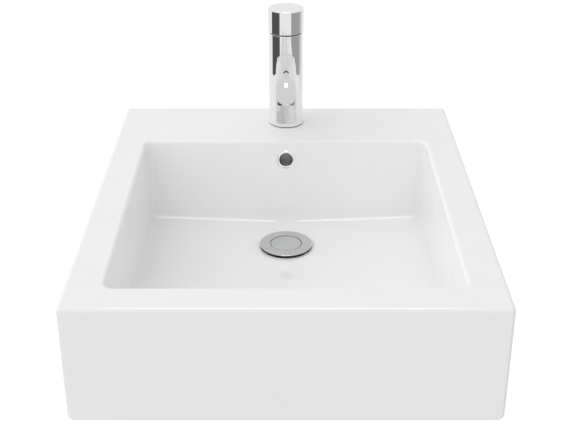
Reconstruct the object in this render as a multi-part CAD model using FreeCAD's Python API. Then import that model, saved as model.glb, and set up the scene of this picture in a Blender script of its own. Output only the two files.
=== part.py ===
"""Semi-recessed ceramic basin with its overflow ring, click waste and single-control mixer tap.

The origin is the middle of the rear lip's bearing face: z = 0 is the plane on which the rim rests,
+Y points to the back, +X to the right. Places along the basin are given as distances behind its
front face and turned into y by behind_front().
"""
import FreeCAD, Part
import math
import os

Vec = FreeCAD.Vector
UP = Vec(0, 0, 1)
FORWARD = Vec(0, -1, 0)
BACKWARD = Vec(0, 1, 0)

# ---- ceramic basin ----------------------------------------------------------------------------
BASIN_WIDTH = 440.0
BASIN_DEPTH = 530.0
BASIN_HEIGHT = 133.0          # rim top to the bottom of the front apron
RIM_THICK = 12.0
APRON_DEPTH = 140.0           # front face to the shoulders
REAR_LIP = 12.0               # overhang of the rim behind the rear skirt
WALL = 11.0
SHOULDER_LAP = 6.0            # how far each shoulder reaches in over the tub's side
SHOULDER_RELIEF = 3.0         # sunk strip beside the tub, so that only the shoulder bears
SKIRT_WALL = 8.0
SKIRT_DEEP = 34.0
SKIRT_START = 12.0            # in front of the bowl's rear edge
SKIRT_CORNER_R = 16.0
EDGE_R = 4.5                  # glaze-soft outer edges
APRON_CORNER_R = 8.0          # lower corners in the front view
RIM_INNER_R = 4.0

BOWL_FRONT = 41.0
BOWL_BACK = 410.5
BOWL_HALF = 180.0
BOWL_CORNER_R = 11.0
BOWL_FOOT_R = 9.0
SIDE_DRAFT = 3.0              # degrees
FRONT_DRAFT = 4.0
BACK_LEAN = 9.0

FLOOR_DROP = 109.0            # rim top to the floor at the waste
FLOOR_RISE_SIDE = 7.0         # from the centre line to the side wall
FLOOR_RISE_BACK = 3.0         # from the waste to the back wall
FLOOR_RISE_FRONT = 4.5        # from the waste to the front wall
FLOOR_SOFT = 22.0             # width over which the falls run into each other
FLOOR_GRID = 16               # spans of the floor's surface each way

OVERFLOW_DROP = 24.6          # rim top to the overflow's centre
OVERFLOW_HOLE_R = 10.5
OVERFLOW_RING_R = 12.2
OVERFLOW_RING_HIGH = 2.0
OVERFLOW_BORE_R = 7.9
OVERFLOW_SLEEVE = 11.0
DUCT_WIDE = 44.0
DUCT_DEEP = 14.0
DUCT_WALL = 7.0
DUCT_FOOT_HIGH = 8.0
DUCT_NOSE = 5.0               # how far the duct's foot breaks into the waste hole
DUCT_EDGE_R = 4.0

WASTE_D = 326.6               # behind the front face
WASTE_HOLE_R = 22.5
COLLAR_R = 38.0
TAP_D = 476.5
TAP_HOLE_R = 17.5
DECK_BOSS_R = 30.0
DECK_BOSS_THICK = 4.0

# ---- click waste, G 1 1/4 -----------------------------------------------------------------------
FLANGE_R = 31.5
FLANGE_THICK = 2.5
FLANGE_SEAL_THICK = 1.0
FLANGE_RECESS_GAP = 0.5
MOUTH_R = 23.0                # the flange's funnel
MOUTH_DEEP = 4.0
TUBE_R = 20.95
TUBE_BORE_R = 18.0
WASTE_LENGTH = 80.0
OUTLET_THREAD = 31.0          # free thread below the run-out groove, for the trap
GROOVE_DEEP = 0.8
GROOVE_WIDE = 1.2
SLOT_WIDE = 24.0
SLOT_HIGH = 9.0
BRIDGE_BELOW = 31.0           # floor to the bridge's underside
BRIDGE_THICK = 6.0
BRIDGE_ARM = 3.0
BRIDGE_HUB_R = 9.5
CONE_R = 33.0
CONE_HIGH = 7.0
CONE_LIP = 3.0                # part of the cone washer inside the waste hole
SLIP_R = 31.0
SLIP_THICK = 1.5
NUT_R = 26.5
NUT_FLANGE_R = 30.0
NUT_HIGH = 12.0
NUT_FLANGE_HIGH = 3.0
NUT_LUG_R = 29.5
NUT_LUG_WIDE = 8.0
CAP_R = 33.0
CAP_THICK = 1.6
CAP_GAP = 2.8                 # between the closed cap's rim and the flange
CAP_BOSS_R = 7.0
CAP_BOSS_HIGH = 3.3
CAP_SEAT = 0.4                # how far the stem stops short of the cap's underside
DISH_R = 20.0
SEAL_R = 31.4
SEAL_BORE_R = 25.5
SEAL_GAP = 0.3                # closed seal above the flange
PLUG_TRAVEL = 6.0
STEM_R = 4.0
STEM_COLLAR_R = 6.0
STEM_TAIL_R = 3.0
HOUSING_R = 8.0
HOUSING_BORE_R = 6.2
HOUSING_STUB_R = 3.0
SPRING_R = 4.9
SPRING_WIRE_R = 0.5
SPRING_TURNS = 6

# ---- mixer tap ----------------------------------------------------------------------------------
BODY_R = 22.2
BODY_TOP = 125.0              # above the deck
SEAM = 1.6
TAP_HEIGHT = 157.0            # above the deck
BASE_R = 22.7
BASE_HIGH = 3.0
BASE_BORE_R = 17.2
SPIGOT_R = 16.8
SPIGOT_LONG = 4.0             # below the deck, inside the tap hole
SEAL_GROOVE_R = (18.8, 21.7)
SEAL_GROOVE_DEEP = 1.5
SPOUT_R = 12.8
SPOUT_TOP = 102.2             # crown of the spout above the deck
SPOUT_REACH = 125.0           # tap axis to nozzle axis
SPOUT_BEND_R = 14.4
SPOUT_BORE_R = 9.4
SPOUT_SEAT = 11.0             # tap axis to the bottom of the spout's socket
OUTLET_HIGH = 51.0            # outlet above the deck
OUTLET_EDGE_R = 1.2
AERATOR_R = 10.7
AERATOR_HIGH = 10.5
AERATOR_SUNK = 0.8
WAY_R = 1.05                  # straight ways through the aerator
WAY_PITCH = 2.7
WAY_ROWS = 2                  # on each side of the middle row
CARTRIDGE_R = 12.5
CARTRIDGE_NECK_R = 9.3
CHAMBER_R = 13.6
CHAMBER_FLOOR = 104.0         # above the deck
PORT_R = 3.0
PORT_X = 6.5
PORT_Y = 4.0
MIXED_R = 4.0
MIXED_Y = -7.0
MIXED_WAY_R = 7.0             # from the mixed port to the spout
SPINDLE_R = 4.0
FLAT_Y = 3.0                  # spindle axis to its flat
GLIDE_R = (14.4, 18.5)
INLET_R = 4.5                 # M10 x 1 core
INLET_X = 8.5
INLET_LENGTH = 14.0
HANDLE_R = 22.9
HANDLE_WALL = 3.0
HANDLE_CROWN = 5.0
HANDLE_TOP_R = 1.4
HUB_R = 8.0
RIB_WIDE = 9.0
SCREW_R = 2.0                 # M4 grub screw
SCREW_LONG = 8.0
SCREW_KEY_R = 1.15
SCREW_KEY_DEEP = 2.0

# ---- tap fixing -----------------------------------------------------------------------------------
STUD_R = 3.0
STUD_Y = 12.5
STUD_LENGTH = 69.0
STUD_INSIDE = 7.0             # above the deck's top, screwed into the column
HORSESHOE_R = 22.5
HORSESHOE_SLOT = 16.0
HORSESHOE_END = 16.5          # tap axis to the slot's closed end
HORSESHOE_SLOT_R = 7.0
RUBBER_THICK = 3.0
PLATE_THICK = 2.0
HEX_R = 5.77                  # M6 nut, 10 mm across flats
HEX_HIGH = 5.0

# ---- clearances -----------------------------------------------------------------------------------
SNUG = 0.1                    # between pieces fitted together by hand
RUNNING = 0.05                # radial, between a shaft and what guides it
SMALL_EDGE = 0.4              # turned edges of the tap
TURNED_EDGE = 0.8             # turned edges of the waste
MERGE = 4.0                   # how far parts of one casting run into each other

# ---- worked out -----------------------------------------------------------------------------------
FRONT_Y = REAR_LIP / 2 - BASIN_DEPTH
BACK_Y = REAR_LIP / 2
HALF = BASIN_WIDTH / 2
RIM_TOP = RIM_THICK
BOTTOM = RIM_TOP - BASIN_HEIGHT
FLOOR_Z = RIM_TOP - FLOOR_DROP
DECK = RIM_TOP
TUB_HALF = BOWL_HALF + WALL
FLANGE_SEAT = FLOOR_Z - FLANGE_THICK - FLANGE_SEAL_THICK
DUCT_FLOOR = BOTTOM + DUCT_WALL
BRIDGE_Z = FLOOR_Z - BRIDGE_BELOW
SOCKET_FLOOR = BRIDGE_Z + 1.5
HOUSING_TOP = FLOOR_Z - 4.5
HOUSING_FLOOR = BRIDGE_Z + 3.0
LID_THICK = 1.5
COLLAR_THICK = 1.5
STEM_COLLAR_TOP = HOUSING_TOP - LID_THICK - RUNNING - PLUG_TRAVEL
CAP_UNDER = FLOOR_Z + CAP_GAP
SLIP_TOP = BOTTOM - CONE_HIGH
NUT_TOP = SLIP_TOP - SLIP_THICK
COLUMN_TOP = DECK + BODY_TOP
CHAMBER_LOW = DECK + CHAMBER_FLOOR
NECK_LOW = COLUMN_TOP - 4.0
SPOUT_AXIS = DECK + SPOUT_TOP - SPOUT_R
OUTLET = DECK + OUTLET_HIGH
CONTROL_LOW = COLUMN_TOP + SEAM
CONTROL_TOP = DECK + TAP_HEIGHT
CROWN_UNDER = CONTROL_TOP - HANDLE_CROWN
SPINDLE_TOP = CONTROL_TOP - 10.0
HUB_LOW = COLUMN_TOP + 9.0
SCREW_Z = HUB_LOW + 5.0
UNDER_DECK = -DECK_BOSS_THICK
PLATE_TOP = UNDER_DECK - RUBBER_THICK
FIXING_TOP = PLATE_TOP - PLATE_THICK
STUD_TOP = DECK + STUD_INSIDE


def behind_front(distance):
    return FRONT_Y + distance


WASTE_Y = behind_front(WASTE_D)
TAP_Y = behind_front(TAP_D)
NOZZLE_Y = TAP_Y - SPOUT_REACH
SHOULDER_Y = behind_front(APRON_DEPTH)


# ---- drawing aids -----------------------------------------------------------------------------------
def box(low, high):
    size = Vec(*high).sub(Vec(*low))
    return Part.makeBox(size.x, size.y, size.z, Vec(*low))


def cylinder(radius, low_z, high_z, x=0.0, y=0.0):
    return Part.makeCylinder(radius, high_z - low_z, Vec(x, y, low_z), UP)


def turned(profile, y=0.0):
    """Solid of revolution about the vertical axis at y, from (radius, z) corners."""
    corners = [Vec(r, 0, z) for r, z in profile]
    face = Part.Face(Part.makePolygon(corners + corners[:1]))
    solid = face.revolve(Vec(0, 0, 0), UP, 360)
    solid.translate(Vec(0, y, 0))
    return solid


def ring(outer_r, inner_r, low_z, high_z, y=0.0):
    return cylinder(outer_r, low_z, high_z, y=y).cut(cylinder(inner_r, low_z, high_z, y=y))


def prism(points, thickness_vector):
    return Part.Face(Part.makePolygon(points + points[:1])).extrude(thickness_vector)


def on_circle(radius, degrees):
    return radius * math.cos(math.radians(degrees)), radius * math.sin(math.radians(degrees))


def turned_about(shape, y, degrees):
    """The shape, drawn about the origin's upright axis, turned and set on the axis at y."""
    shape.rotate(Vec(0, 0, 0), UP, degrees)
    shape.translate(Vec(0, y, 0))
    return shape


def rounded_rectangle(x_half, front_y, back_y, radius, z):
    """Closed wire with four arcs, counter-clockwise from above."""
    middles = [(x_half - radius, front_y + radius, -90), (x_half - radius, back_y - radius, 0),
               (radius - x_half, back_y - radius, 90), (radius - x_half, front_y + radius, 180)]
    arcs = []
    for x, y, start in middles:
        points = [on_circle(radius, start + step) for step in (0, 45, 90)]
        arcs.append(Part.Arc(*[Vec(x + across, y + along, z) for across, along in points]))
    edges = []
    for arc, following in zip(arcs, arcs[1:] + arcs[:1]):
        edges.append(arc.toShape())
        edges.append(Part.LineSegment(arc.EndPoint, following.StartPoint).toShape())
    return Part.Wire(edges)


def tube_along(wire, radius, start, direction):
    circle = Part.Wire(Part.makeCircle(radius, start, direction))
    return wire.makePipeShell([circle], True, False)


def edges_where(shape, wanted):
    return [edge for edge in shape.Edges if wanted(edge)]


def lies_between(edge, axis, low, high):
    around = edge.BoundBox
    lowest = {"x": around.XMin, "y": around.YMin, "z": around.ZMin}[axis]
    highest = {"x": around.XMax, "y": around.YMax, "z": around.ZMax}[axis]
    return lowest >= low - 1e-4 and highest <= high + 1e-4


def edges_at_level(shape, z):
    return edges_where(shape, lambda edge: lies_between(edge, "z", z, z))


def is_level(edge):
    return edge.BoundBox.ZMax - edge.BoundBox.ZMin < 1


def tangent(degrees):
    return math.tan(math.radians(degrees))


# ---- ceramic basin ------------------------------------------------------------------------------------
def back_wall_y(z, grow=0.0):
    return behind_front(BOWL_BACK) - (RIM_TOP - z) * tangent(BACK_LEAN) + grow


def bowl_outline(z, grow):
    down = RIM_TOP - z
    return rounded_rectangle(BOWL_HALF - down * tangent(SIDE_DRAFT) + grow,
                             behind_front(BOWL_FRONT) + down * tangent(FRONT_DRAFT) - grow,
                             back_wall_y(z, grow), BOWL_CORNER_R + grow, z)


def soft_rise(distance, reach, rise):
    """Fall line: straight away from the waste, rounded near it."""
    slope = rise / reach
    return slope * (math.hypot(distance, FLOOR_SOFT) - FLOOR_SOFT)


def floor_height(x, y):
    """The floor falls from the four walls to the waste in straight, softly joined planes."""
    back = soft_rise(max(y - WASTE_Y, 0.0), back_wall_y(FLOOR_Z) - WASTE_Y, FLOOR_RISE_BACK)
    front = soft_rise(max(WASTE_Y - y, 0.0), WASTE_Y - behind_front(BOWL_FRONT), FLOOR_RISE_FRONT)
    return FLOOR_Z + soft_rise(x, BOWL_HALF, FLOOR_RISE_SIDE) + back + front


def floor_block(lowered):
    """Everything above the bowl's floor surface, as one tall block."""
    half = HALF + 20.0
    low_y, high_y = FRONT_Y - 10.0, behind_front(BOWL_BACK) + 40.0
    rows = []
    for i in range(FLOOR_GRID + 1):
        x = -half + 2 * half * i / FLOOR_GRID
        ys = [low_y + (high_y - low_y) * j / FLOOR_GRID for j in range(FLOOR_GRID + 1)]
        rows.append([Vec(x, y, floor_height(x, y) - lowered) for y in ys])
    surface = Part.BSplineSurface()
    surface.interpolate(rows)
    return surface.toShape().extrude(Vec(0, 0, 200))


def bowl_form(grow, foot_radius, top):
    """The bowl's inside for grow = 0, its outside for grow = WALL."""
    walls = Part.makeLoft([bowl_outline(BOTTOM - 10, grow), bowl_outline(top, grow)], True, True)
    form = walls.common(floor_block(grow))
    foot = edges_where(form, lambda edge: edge.BoundBox.ZMax < FLOOR_Z - grow + 16
                       and edge.BoundBox.ZMax - edge.BoundBox.ZMin < 8)
    return form.makeFillet(foot_radius, foot)


def rim_and_apron():
    slab = box((-HALF, FRONT_Y, 0), (HALF, BACK_Y, RIM_TOP))
    inner = HALF - WALL
    lap = TUB_HALF - SHOULDER_LAP
    wrap = box((-HALF, FRONT_Y, BOTTOM), (HALF, SHOULDER_Y, 0))
    hollow = box((-inner, FRONT_Y + WALL, BOTTOM), (inner, SHOULDER_Y - WALL, 0))
    way_through = box((-lap, FRONT_Y + WALL, BOTTOM), (lap, SHOULDER_Y, 0))
    apron = wrap.cut(hollow).cut(way_through)
    for side in (-1, 1):
        near, far = sorted((side * lap, side * (TUB_HALF + SHOULDER_RELIEF)))
        apron = apron.cut(box((near, SHOULDER_Y - 1, BOTTOM), (far, SHOULDER_Y, 0)))
    lower = edges_where(wrap, lambda edge: lies_between(edge, "z", BOTTOM, BOTTOM)
                        and edge.BoundBox.YMax - edge.BoundBox.YMin > 1)
    apron = apron.common(wrap.makeFillet(APRON_CORNER_R, lower))
    return slab.fuse(apron).removeSplitter()


def soften_outside(shape):
    """Rounds the front face's outline, the rim's upper edge and its upright corners."""
    def outside(edge):
        on_front = lies_between(edge, "y", FRONT_Y, FRONT_Y)
        on_top = lies_between(edge, "z", RIM_TOP, RIM_TOP)
        on_back = lies_between(edge, "y", BACK_Y, BACK_Y) and lies_between(edge, "z", 0, RIM_TOP)
        upright = edge.BoundBox.XMax - edge.BoundBox.XMin < 1
        return on_front or on_top or (on_back and upright)
    return shape.makeFillet(EDGE_R, edges_where(shape, outside))


def rear_skirt():
    """Downstand behind the bowl: it closes the deck's hollow and centres the basin in its cut-out."""
    back = BACK_Y - REAR_LIP
    front = behind_front(BOWL_BACK) - SKIRT_START

    def slice_at(half, rear, radius):
        wire = rounded_rectangle(half, front - 60, rear, radius, -SKIRT_DEEP)
        return Part.Face(wire).extrude(Vec(0, 0, SKIRT_DEEP))
    solid = slice_at(TUB_HALF, back, SKIRT_CORNER_R)
    inside = slice_at(TUB_HALF - SKIRT_WALL, back - SKIRT_WALL, SKIRT_CORNER_R - SKIRT_WALL)
    in_front = box((-HALF, FRONT_Y, -SKIRT_DEEP), (HALF, front, 0))
    return solid.cut(inside).cut(in_front)


def duct(wall, near, top):
    """The overflow's way: down behind the back wall, then forward under the floor to the waste.

    wall is 0 for the hollow and DUCT_WALL for its casing; near is how far behind the bowl it starts.
    """
    half = DUCT_WIDE / 2 + wall
    far = WALL + DUCT_DEEP + wall
    low = DUCT_FLOOR - wall
    high = DUCT_FLOOR + DUCT_FOOT_HIGH + wall
    front = WASTE_Y + WASTE_HOLE_R - DUCT_NOSE
    side_view = [(back_wall_y(top, near), top), (back_wall_y(top, far), top), (back_wall_y(low, far), low),
                 (front, low), (front, high), (back_wall_y(high, near), high)]
    return prism([Vec(-half, y, z) for y, z in side_view], Vec(2 * half, 0, 0))


def overflow_axis():
    lean = math.radians(BACK_LEAN)
    z = RIM_TOP - OVERFLOW_DROP
    return Vec(0, back_wall_y(z), z), Vec(0, -math.cos(lean), math.sin(lean))


def make_basin():
    outside = soften_outside(rim_and_apron())
    tub = bowl_form(WALL, BOWL_FOOT_R + WALL, 2.0)
    casing = duct(DUCT_WALL, WALL - MERGE, 0.0)
    behind = back_wall_y(BOTTOM, WALL + DUCT_DEEP)
    rear_edges = edges_where(casing, lambda edge: edge.BoundBox.YMin > behind - 1
                             and edge.BoundBox.ZMin < -10)
    casing = casing.makeFillet(DUCT_EDGE_R, rear_edges)
    collar = cylinder(COLLAR_R, BOTTOM, FLOOR_Z - MERGE, y=WASTE_Y)
    boss = cylinder(DECK_BOSS_R, UNDER_DECK, 1.0, y=TAP_Y)
    shell = outside.fuse([tub, rear_skirt(), casing, collar, boss])

    bowl = bowl_form(0.0, BOWL_FOOT_R, RIM_TOP + 10)
    waste_hole = cylinder(WASTE_HOLE_R, BOTTOM - 1, FLOOR_Z + 5, y=WASTE_Y)
    flange_recess = cylinder(FLANGE_R + FLANGE_RECESS_GAP, FLANGE_SEAT, FLOOR_Z + 3, y=WASTE_Y)
    tap_hole = cylinder(TAP_HOLE_R, -20, RIM_TOP + 1, y=TAP_Y)
    mouth, towards_bowl = overflow_axis()
    overflow_hole = Part.makeCylinder(OVERFLOW_HOLE_R, WALL + 6, mouth.add(towards_bowl * 3), -towards_bowl)
    hollow = duct(0.0, WALL - 0.5, -1.0)
    shell = shell.cut([bowl, waste_hole, flange_recess, tap_hole, hollow, overflow_hole]).removeSplitter()

    def opening_edge(edge):
        across = lies_between(edge, "x", -BOWL_HALF - 1, BOWL_HALF + 1)
        along = lies_between(edge, "y", behind_front(BOWL_FRONT) - 1, behind_front(BOWL_BACK) + 1)
        return lies_between(edge, "z", RIM_TOP, RIM_TOP) and across and along
    return shell.makeFillet(RIM_INNER_R, edges_where(shell, opening_edge))


def make_overflow_ring():
    """Domed flange against the back wall, with a sleeve pushed into the overflow hole."""
    sleeve_r = OVERFLOW_HOLE_R - SNUG
    profile = [(OVERFLOW_BORE_R, OVERFLOW_RING_HIGH - 0.8), (OVERFLOW_BORE_R + 0.7, OVERFLOW_RING_HIGH),
               (OVERFLOW_RING_R - 1.8, OVERFLOW_RING_HIGH),
               (OVERFLOW_RING_R - 0.5, OVERFLOW_RING_HIGH - 0.7),
               (OVERFLOW_RING_R, 0.0), (sleeve_r, 0.0), (sleeve_r, 2.0 - OVERFLOW_SLEEVE),
               (sleeve_r - 0.6, -OVERFLOW_SLEEVE), (OVERFLOW_BORE_R, -OVERFLOW_SLEEVE)]
    solid = turned(profile)
    mouth, towards_bowl = overflow_axis()
    solid.Placement = FreeCAD.Placement(mouth, FreeCAD.Rotation(UP, towards_bowl))
    return solid


# ---- click waste ------------------------------------------------------------------------------------
def make_waste_flange_seal():
    return ring(FLANGE_R - 1.0, WASTE_HOLE_R + 0.5, FLANGE_SEAT, FLANGE_SEAT + FLANGE_SEAL_THICK, WASTE_Y)


def make_waste_body():
    """Flanged, slotted and threaded tube with a cross bridge that carries the click cartridge."""
    end_z = FLOOR_Z - WASTE_LENGTH
    under = FLOOR_Z - FLANGE_THICK
    groove = end_z + OUTLET_THREAD
    groove_r = TUBE_R - GROOVE_DEEP
    groove_top = groove + GROOVE_DEEP + GROOVE_WIDE
    profile = [(FLANGE_R, under), (FLANGE_R, FLOOR_Z - TURNED_EDGE), (FLANGE_R - TURNED_EDGE, FLOOR_Z),
               (MOUTH_R, FLOOR_Z), (TUBE_BORE_R, FLOOR_Z - MOUTH_DEEP), (TUBE_BORE_R, end_z),
               (TUBE_R - 1.0, end_z), (TUBE_R, end_z + 1.0), (TUBE_R, groove),
               (groove_r, groove + GROOVE_DEEP), (groove_r, groove_top), (TUBE_R, groove_top + GROOVE_DEEP),
               (TUBE_R, under)]
    tube = turned(profile, WASTE_Y)
    slot_top = DUCT_FLOOR + DUCT_FOOT_HIGH
    slot = box((-SLOT_WIDE / 2, WASTE_Y - TUBE_R - 2, slot_top - SLOT_HIGH),
               (SLOT_WIDE / 2, WASTE_Y + TUBE_R + 2, slot_top))
    tube = tube.cut(slot)
    bridge = [cylinder(BRIDGE_HUB_R, BRIDGE_Z, BRIDGE_Z + BRIDGE_THICK, y=WASTE_Y)]
    for degrees in (0, 90):
        arm = box((-TUBE_BORE_R - 1, -BRIDGE_ARM / 2, BRIDGE_Z),
                  (TUBE_BORE_R + 1, BRIDGE_ARM / 2, BRIDGE_Z + BRIDGE_THICK))
        bridge.append(turned_about(arm, WASTE_Y, degrees))
    socket = cylinder(HOUSING_R + SNUG, SOCKET_FLOOR, BRIDGE_Z + 10, y=WASTE_Y)
    stub_hole = cylinder(HOUSING_STUB_R + SNUG, BRIDGE_Z - 1, BRIDGE_Z + 3, y=WASTE_Y)
    return tube.fuse(bridge).cut([socket, stub_hole]).removeSplitter()


def make_waste_cone_washer():
    bore_r = TUBE_R + SNUG
    lip_r = WASTE_HOLE_R - 0.2
    profile = [(bore_r, BOTTOM + CONE_LIP), (lip_r, BOTTOM + CONE_LIP), (lip_r, BOTTOM), (CONE_R, BOTTOM),
               (CONE_R, BOTTOM - CONE_LIP), (CONE_R - 3.0, SLIP_TOP), (bore_r, SLIP_TOP)]
    return turned(profile, WASTE_Y)


def make_waste_slip_washer():
    return ring(SLIP_R, TUBE_R + SNUG, NUT_TOP, SLIP_TOP, WASTE_Y)


def make_waste_backnut():
    """Flanged backnut with six grip lugs for the fitting spanner."""
    low = NUT_TOP - NUT_HIGH
    flange_low = NUT_TOP - NUT_FLANGE_HIGH
    flange = cylinder(NUT_FLANGE_R, flange_low, NUT_TOP, y=WASTE_Y)
    nut = cylinder(NUT_R, low, NUT_TOP, y=WASTE_Y).fuse(flange)
    for degrees in range(0, 360, 60):
        lug = box((NUT_R - 1.5, -NUT_LUG_WIDE / 2, low), (NUT_LUG_R, NUT_LUG_WIDE / 2, flange_low))
        nut = nut.fuse(turned_about(lug, WASTE_Y, degrees))
    return nut.cut(cylinder(TUBE_R + SNUG, low - 1, NUT_TOP + 1, y=WASTE_Y)).removeSplitter()


def make_click_housing():
    lid_under = HOUSING_TOP - LID_THICK
    guide_r = STEM_R + RUNNING
    profile = [(0, BRIDGE_Z - 2), (HOUSING_STUB_R, BRIDGE_Z - 2), (HOUSING_STUB_R, SOCKET_FLOOR),
               (HOUSING_R, SOCKET_FLOOR), (HOUSING_R, HOUSING_TOP), (guide_r, HOUSING_TOP),
               (guide_r, lid_under), (HOUSING_BORE_R, lid_under), (HOUSING_BORE_R, HOUSING_FLOOR),
               (0, HOUSING_FLOOR)]
    return turned(profile, WASTE_Y)


def make_plug_stem():
    collar_low = STEM_COLLAR_TOP - COLLAR_THICK
    tail = HOUSING_FLOOR + 1.0
    head = CAP_UNDER - CAP_SEAT
    profile = [(0, tail), (STEM_TAIL_R - 0.4, tail), (STEM_TAIL_R, tail + 0.5), (STEM_TAIL_R, collar_low),
               (STEM_COLLAR_R, collar_low), (STEM_COLLAR_R, STEM_COLLAR_TOP), (STEM_R, STEM_COLLAR_TOP),
               (STEM_R, head), (0, head)]
    return turned(profile, WASTE_Y)


def make_click_spring():
    """Compression spring between the housing's floor and the stem's collar."""
    low = HOUSING_FLOOR + SPRING_WIRE_R + RUNNING
    high = STEM_COLLAR_TOP - COLLAR_THICK - SPRING_WIRE_R - RUNNING
    quarters = 4 * SPRING_TURNS

    def on_coil(quarter):
        x, y = on_circle(SPRING_R, 90 * quarter)
        return Vec(x, WASTE_Y + y, low + (high - low) * quarter / quarters)
    arcs = [Part.Arc(on_coil(q), on_coil(q + 0.5), on_coil(q + 1)).toShape() for q in range(quarters)]
    return tube_along(Part.Wire(arcs), SPRING_WIRE_R, on_coil(0), arcs[0].tangentAt(arcs[0].FirstParameter))


def make_plug_cap():
    """Turned cap with a shallow dish in its crown and a threaded boss underneath."""
    top = CAP_UNDER + CAP_THICK
    boss = CAP_UNDER - CAP_BOSS_HIGH
    seat = CAP_UNDER - CAP_SEAT
    profile = [(0, seat), (STEM_R, seat), (STEM_R, boss), (CAP_BOSS_R, boss), (CAP_BOSS_R, CAP_UNDER),
               (CAP_R - 0.5, CAP_UNDER), (CAP_R, CAP_UNDER + 0.5), (CAP_R, top - 0.8),
               (CAP_R - 0.25, top - 0.25), (CAP_R - 0.8, top), (DISH_R + 0.6, top + 0.3),
               (DISH_R, top + 0.1), (DISH_R - 1.2, top - 0.4), (0, top - 0.7)]
    return turned(profile, WASTE_Y)


def make_plug_seal():
    low = FLOOR_Z + SEAL_GAP
    profile = [(SEAL_BORE_R, CAP_UNDER), (SEAL_BORE_R, low + 1.0), (SEAL_BORE_R + 1.5, low),
               (SEAL_R - 0.4, low), (SEAL_R, low + 0.5), (SEAL_R, CAP_UNDER)]
    return turned(profile, WASTE_Y)


# ---- mixer tap ------------------------------------------------------------------------------------
def make_tap_base_ring():
    top = DECK + BASE_HIGH
    profile = [(BASE_BORE_R, DECK), (BASE_R, DECK), (BASE_R, top - TURNED_EDGE), (BASE_R - SMALL_EDGE, top),
               (BASE_BORE_R, top)]
    inner_r, outer_r = SEAL_GROOVE_R
    return turned(profile, TAP_Y).cut(ring(outer_r, inner_r, DECK, DECK + SEAL_GROOVE_DEEP, TAP_Y))


def make_tap_base_seal():
    inner_r, outer_r = SEAL_GROOVE_R
    return ring(outer_r - SNUG, inner_r + SNUG, DECK, DECK + SEAL_GROOVE_DEEP - SNUG, TAP_Y)


def make_tap_body():
    """Brass column: cartridge chamber on top, spout socket in front, inlets and stud holes below."""
    column = cylinder(BODY_R, DECK + BASE_HIGH, COLUMN_TOP, y=TAP_Y)
    column = column.makeFillet(SMALL_EDGE, edges_where(column, is_level))
    spigot = cylinder(SPIGOT_R, DECK - SPIGOT_LONG, DECK + BASE_HIGH + 1, y=TAP_Y)
    holes = [cylinder(CHAMBER_R, CHAMBER_LOW, COLUMN_TOP + 1, y=TAP_Y),
             Part.makeCylinder(SPOUT_R + SNUG, 40, Vec(0, TAP_Y - SPOUT_SEAT, SPOUT_AXIS), FORWARD),
             Part.makeCylinder(MIXED_WAY_R, 14, Vec(0, TAP_Y, SPOUT_AXIS), FORWARD),
             cylinder(MIXED_R, SPOUT_AXIS, CHAMBER_LOW + 1, y=TAP_Y + MIXED_Y)]
    inlet_low = DECK - SPIGOT_LONG
    for side in (-1, 1):
        holes.append(cylinder(INLET_R, inlet_low - 1, inlet_low + INLET_LENGTH, side * INLET_X, TAP_Y))
        holes.append(cylinder(PORT_R, DECK + 5.0, CHAMBER_LOW + 1, side * PORT_X, TAP_Y + PORT_Y))
        holes.append(cylinder(STUD_R + SNUG, inlet_low - 1, STUD_TOP, 0, TAP_Y + side * STUD_Y))
    return column.fuse(spigot).cut(holes).removeSplitter()


def spout_path(start_y, end_z):
    """Level from the column, a quarter bend, then straight down."""
    start = Vec(0, start_y, SPOUT_AXIS)
    bend_start = Vec(0, NOZZLE_Y + SPOUT_BEND_R, SPOUT_AXIS)
    bend_end = Vec(0, NOZZLE_Y, SPOUT_AXIS - SPOUT_BEND_R)
    inside = SPOUT_BEND_R * (1 - math.cos(math.pi / 4))
    bend = Part.Arc(bend_start, Vec(0, NOZZLE_Y + inside, SPOUT_AXIS - inside), bend_end)
    level = Part.LineSegment(start, bend_start)
    drop = Part.LineSegment(bend_end, Vec(0, NOZZLE_Y, end_z))
    return Part.Wire([level.toShape(), bend.toShape(), drop.toShape()]), start


def make_spout():
    """Round spout that leaves the column level and turns down into the nozzle."""
    path, start = spout_path(TAP_Y - SPOUT_SEAT, OUTLET)
    outer = tube_along(path, SPOUT_R, start, FORWARD)
    outer = outer.makeFillet(OUTLET_EDGE_R, edges_at_level(outer, OUTLET))
    bore_path, bore_start = spout_path(TAP_Y - SPOUT_SEAT + 1, OUTLET - 2)
    bore = tube_along(bore_path, SPOUT_BORE_R, bore_start, FORWARD)
    mouth = cylinder(AERATOR_R + SNUG, OUTLET - 1, OUTLET + AERATOR_HIGH + 2.5, y=NOZZLE_Y)
    return outer.cut([bore, mouth])


def make_aerator():
    """Recessed jet regulator: slotted ring round a honeycomb of straight ways."""
    low = OUTLET + AERATOR_SUNK
    high = low + AERATOR_HIGH
    rim_r = AERATOR_R - 2.1
    body = turned([(0, low + 1.0), (rim_r - 0.4, low + 1.0), (rim_r, low), (AERATOR_R, low),
                   (AERATOR_R, high), (0, high)], NOZZLE_Y)
    cuts = []
    for row in range(-WAY_ROWS, WAY_ROWS + 1):
        count = 2 * WAY_ROWS + 1 - abs(row)
        for place in range(count):
            x = (place - (count - 1) / 2) * WAY_PITCH
            y = row * WAY_PITCH * math.sqrt(3) / 2
            cuts.append(cylinder(WAY_R, low, high + 1, x, NOZZLE_Y + y))
    for degrees in range(45, 360, 90):
        notch = box((rim_r + 0.8, -1.0, low - 1), (AERATOR_R + 1, 1.0, low + 1.6))
        cuts.append(turned_about(notch, NOZZLE_Y, degrees))
    return body.cut(cuts)


def make_aerator_washer():
    low = OUTLET + AERATOR_SUNK + AERATOR_HIGH
    return ring(AERATOR_R - 0.2, AERATOR_R - 3.2, low, low + 1.7, NOZZLE_Y)


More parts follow.
